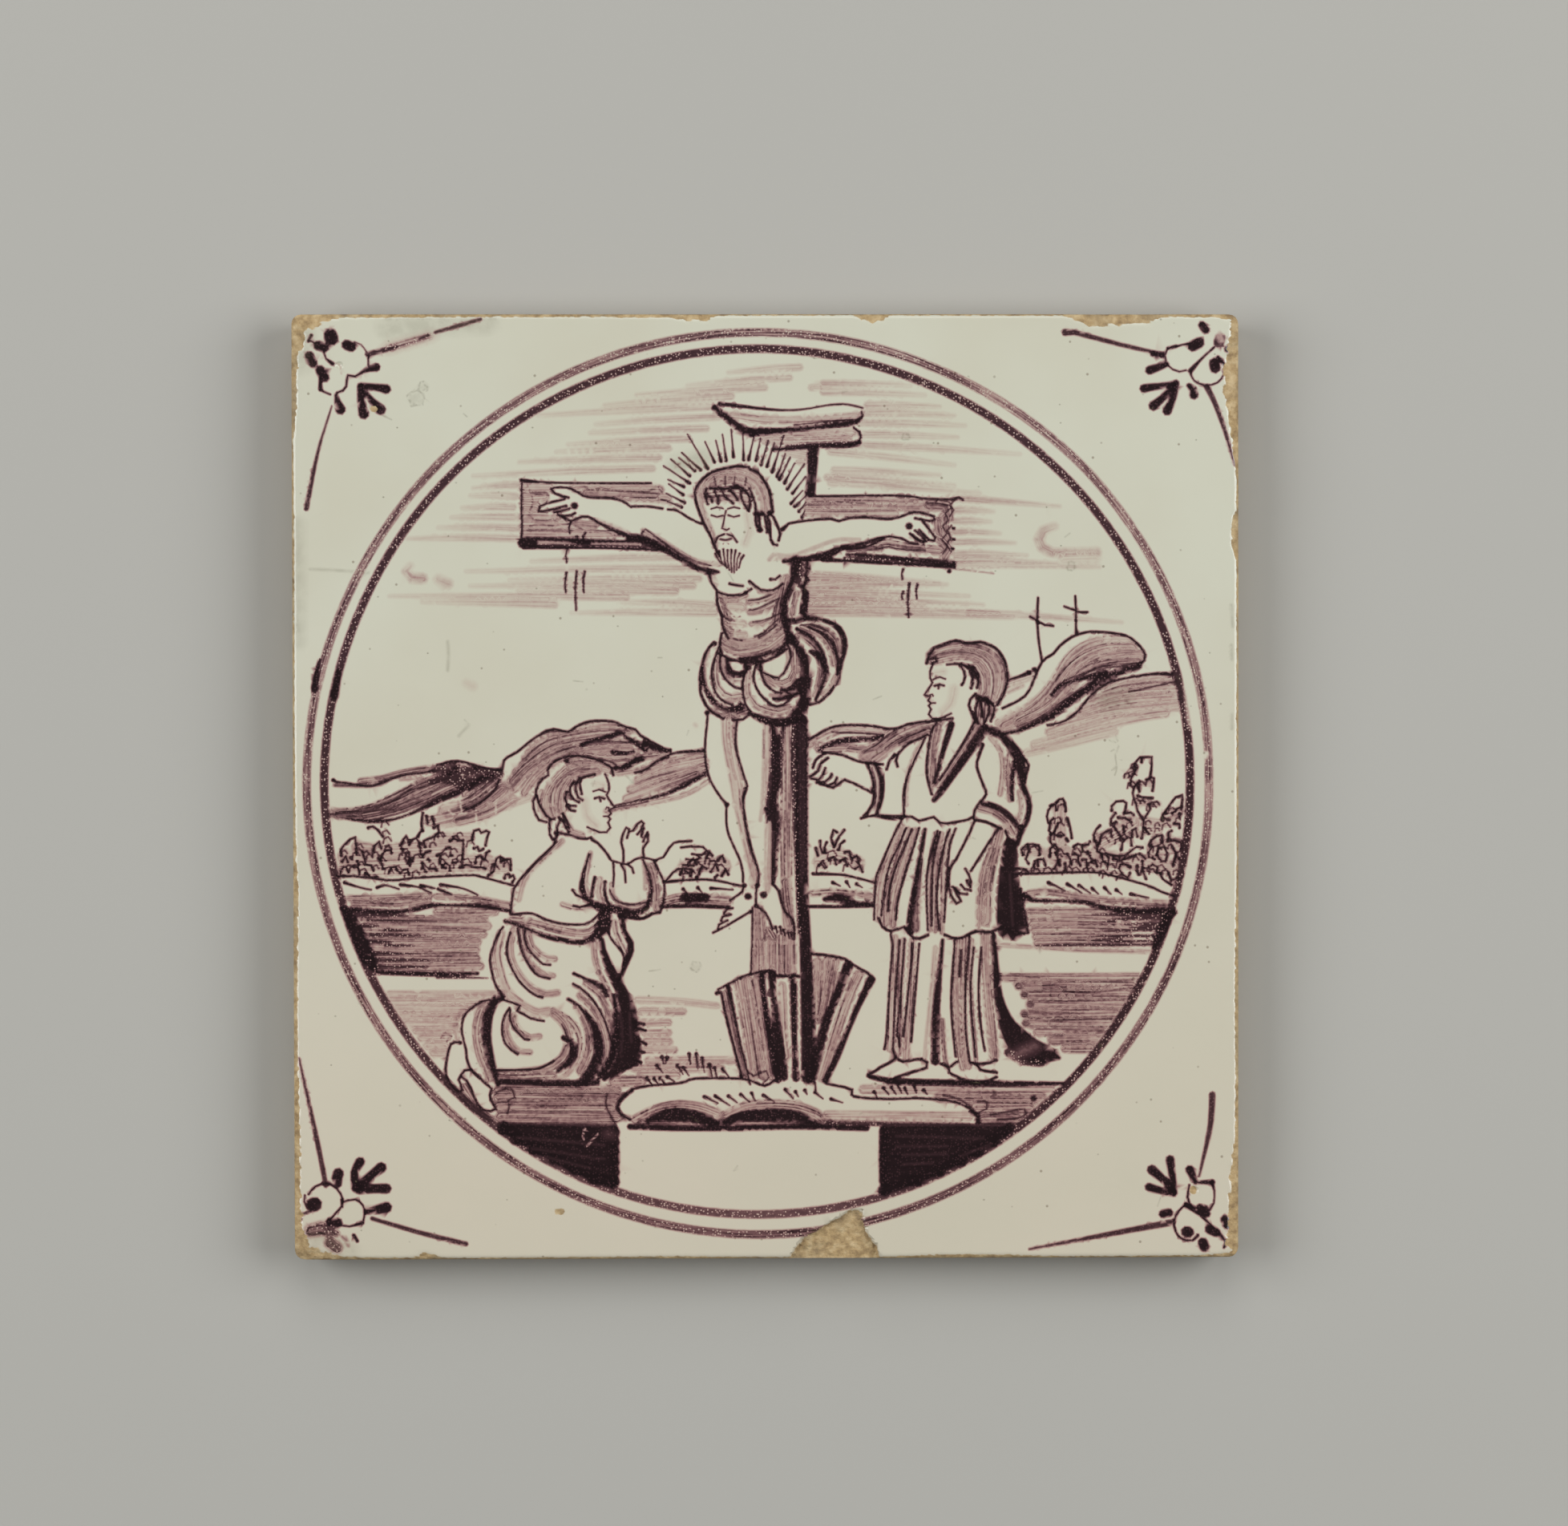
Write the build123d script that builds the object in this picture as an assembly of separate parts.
"""A tin-glazed wall tile: one hand-cut slab of fired clay, glazed on its face.

The sides lean in towards the back, so that the faces of neighbouring tiles close up on a wall. The glaze
rolls over the arris of the face. Age has flaked the edges, and two pricks are left from the nails of the
board that the tile was cut on. The slab lies on its back, with its face up and its picture's head at +Y.
"""

import math
import os

from build123d import *

# Slab, in millimetres.
FACE_WIDTH = 130.0  # face from side to side, along X
FACE_HEIGHT = 129.8  # face from foot to head, along Y
THICKNESS = 7.5  # from the back to the face
UNDERCUT = 1.0  # how far each side leans in between rim and back
LEFT_SKEW = 0.5  # hand-cut left side: its foot stands this far in from its head
FOOT_SKEW = 0.4  # hand-cut foot: its right end stands this far up from its left end
CORNER_RADIUS = 1.3  # plan corners, of face and back alike
RIM_HEIGHT = 1.6  # upright strip of the sides below the face
GLAZE_ROLL = 0.6  # radius of the glaze over the face's arris

# Great chip in the foot, where glaze and clay broke away.
FOOT_CHIP_START = 3.0  # from the tile's middle to the chip's left end
FOOT_CHIP_LENGTH = 12.9  # along the edge
FOOT_CHIP_REACH = 6.9  # from the edge to the tip
FOOT_CHIP_TIP_START = 8.5  # from the chip's left end to its blunt tip
FOOT_CHIP_TIP_WIDTH = 1.9
FOOT_CHIP_FLANK_BOW = 0.5  # how far the two flanks bend, the left one out and the right one in
FOOT_CHIP_EDGE_DEPTH = 1.1  # below the face at the edge
FOOT_CHIP_TIP_DEPTH = 0.45  # below the face at the tip

# Shell-shaped flakes along the sides: length on the arris, reach into the face, depth at the arris.
HEAD_FLAKE_PLACE = 47.5  # middle of the flake, from the tile's middle towards +X
HEAD_FLAKE_LENGTH = 13.5
HEAD_FLAKE_REACH = 1.7
HEAD_FLAKE_DEPTH = 0.9
HEAD_NICK_PLACE = 14.5  # a small flake nearer the middle of the head
HEAD_NICK_LENGTH = 5.0
HEAD_NICK_REACH = 1.1
HEAD_NICK_DEPTH = 0.7
RIGHT_FLAKE_PLACE = 54.0  # middle of the flake, from the tile's middle towards +Y
RIGHT_FLAKE_LENGTH = 20.0
RIGHT_FLAKE_REACH = 2.0
RIGHT_FLAKE_DEPTH = 1.0

# Corners broken off flat: leg along the head or foot, leg along the left side, depth at the corner.
HEAD_CORNER_LEG_X = 4.6
HEAD_CORNER_LEG_Y = 2.4
HEAD_CORNER_DEPTH = 1.4
FOOT_CORNER_LEG_X = 5.2
FOOT_CORNER_LEG_Y = 2.8
FOOT_CORNER_DEPTH = 1.6

# Nail pricks of the cutting board, as small round dents in the glaze.
PRICK_RADIUS = 0.55  # at the face
PRICK_DEPTH = 0.3
HEAD_PRICK_INSET_X = 6.6  # from the left side
HEAD_PRICK_INSET_Y = 7.0  # from the head
FOOT_PRICK_INSET_X = 6.0  # from the right side
FOOT_PRICK_INSET_Y = 9.6  # from the foot


def slab_outline(inset, height):
    """The four-sided outline at a height, this far inside the face's outline, with rounded corners."""
    left = -FACE_WIDTH / 2 + inset
    right = FACE_WIDTH / 2 - inset
    foot = -FACE_HEIGHT / 2 + inset
    head = FACE_HEIGHT / 2 - inset
    corners = [(left, head), (left + LEFT_SKEW, foot), (right, foot + FOOT_SKEW), (right, head)]
    outline = make_face(Polyline(*corners, close=True))
    return Pos(0, 0, height) * fillet(outline.vertices(), CORNER_RADIUS)


def slab():
    """The whole tile before it was chipped: undercut sides, and the glaze rolled over the face's arris."""
    back = slab_outline(UNDERCUT, 0)
    rim = slab_outline(0, THICKNESS - RIM_HEIGHT)
    face = slab_outline(0, THICKNESS)
    body = loft([back, rim, face], ruled=True)
    arris = body.faces().sort_by(Axis.Z)[-1].edges()
    return fillet(arris, GLAZE_ROLL)


def foot_chip():
    """The bite that left the great chip: its outline, raised square from a floor that falls to the edge."""
    fall = FOOT_CHIP_EDGE_DEPTH - FOOT_CHIP_TIP_DEPTH
    floor = Plane(
        origin=(FOOT_CHIP_START, -FACE_HEIGHT / 2, THICKNESS - FOOT_CHIP_EDGE_DEPTH),
        x_dir=(1, 0, 0),
        z_dir=(0, -fall, FOOT_CHIP_REACH),
    )
    overrun = UNDERCUT + FOOT_SKEW  # the bite starts outside the edge, so that it leaves no skin there
    left_foot = (0, 0)
    tip_left = (FOOT_CHIP_TIP_START, FOOT_CHIP_REACH)
    tip_right = (FOOT_CHIP_TIP_START + FOOT_CHIP_TIP_WIDTH, FOOT_CHIP_REACH)
    right_foot = (FOOT_CHIP_LENGTH, 0)
    rim = Curve() + [
        SagittaArc(left_foot, tip_left, FOOT_CHIP_FLANK_BOW),
        Line(tip_left, tip_right),
        SagittaArc(tip_right, right_foot, -FOOT_CHIP_FLANK_BOW),
        Polyline(right_foot, (FOOT_CHIP_LENGTH, -overrun), (0, -overrun), left_foot),
    ]
    return extrude(floor * make_face(rim), 2 * FOOT_CHIP_EDGE_DEPTH)


def shell_flake(edge_middle, outward, length, reach, depth):
    """The ball that strikes a shell-shaped flake off an arris.

    Its cut in the face is an arc of the given length on the arris and reach into the face, and it is depth
    below the face where the middle of the flake meets the arris. Outward points away from the tile.
    """
    half = length / 2
    arc_radius = (reach**2 + half**2) / (2 * reach)
    height = (half**2 - depth**2) / (2 * depth)  # of the ball's centre above the face
    centre = Vector(*edge_middle, THICKNESS + height) + Vector(*outward) * (arc_radius - reach)
    return Pos(*centre) * Sphere(math.hypot(arc_radius, height))


def flakes():
    """The balls of all the flakes along the sides."""
    head = FACE_HEIGHT / 2
    right = FACE_WIDTH / 2
    up = (0, 1)
    across = (1, 0)
    return [
        shell_flake((HEAD_FLAKE_PLACE, head), up, HEAD_FLAKE_LENGTH, HEAD_FLAKE_REACH, HEAD_FLAKE_DEPTH),
        shell_flake((HEAD_NICK_PLACE, head), up, HEAD_NICK_LENGTH, HEAD_NICK_REACH, HEAD_NICK_DEPTH),
        shell_flake(
            (right, RIGHT_FLAKE_PLACE), across, RIGHT_FLAKE_LENGTH, RIGHT_FLAKE_REACH, RIGHT_FLAKE_DEPTH
        ),
    ]


def broken_corner(corner, leg_x, leg_y, depth):
    """The plane that a corner broke along: it meets the sides at the face, and the corner's edge below."""
    along_x = Vector(corner.X - math.copysign(leg_x, corner.X), corner.Y, THICKNESS)
    along_y = Vector(corner.X, corner.Y - math.copysign(leg_y, corner.Y), THICKNESS)
    below = Vector(corner.X, corner.Y, THICKNESS - depth)
    up = (along_x - below).cross(along_y - below)
    return Plane(origin=below, x_dir=along_x - below, z_dir=up if up.Z > 0 else -up)


def pricks():
    """The two balls that dent the face where the cutting board's nails held the clay."""
    ball = (PRICK_RADIUS**2 + PRICK_DEPTH**2) / (2 * PRICK_DEPTH)
    height = THICKNESS - PRICK_DEPTH + ball
    head = (-FACE_WIDTH / 2 + HEAD_PRICK_INSET_X, FACE_HEIGHT / 2 - HEAD_PRICK_INSET_Y)
    foot = (FACE_WIDTH / 2 - FOOT_PRICK_INSET_X, -FACE_HEIGHT / 2 + FOOT_PRICK_INSET_Y)
    return [Pos(*place, height) * Sphere(ball) for place in (head, foot)]


def wall_tile():
    """The tile as it has come down: the slab less its chips, flakes, broken corners and pricks."""
    tile = slab()
    head_left = Vector(-FACE_WIDTH / 2, FACE_HEIGHT / 2)
    foot_left = Vector(-FACE_WIDTH / 2 + LEFT_SKEW, -FACE_HEIGHT / 2)
    breaks = [
        broken_corner(head_left, HEAD_CORNER_LEG_X, HEAD_CORNER_LEG_Y, HEAD_CORNER_DEPTH),
        broken_corner(foot_left, FOOT_CORNER_LEG_X, FOOT_CORNER_LEG_Y, FOOT_CORNER_DEPTH),
    ]
    for plane in breaks:
        tile = split(tile, bisect_by=plane, keep=Keep.BOTTOM)
    for bite in [foot_chip(), *flakes(), *pricks()]:
        tile -= bite
    return tile


os.makedirs("parts", exist_ok=True)
export_step(wall_tile(), "parts/wall_tile.step")
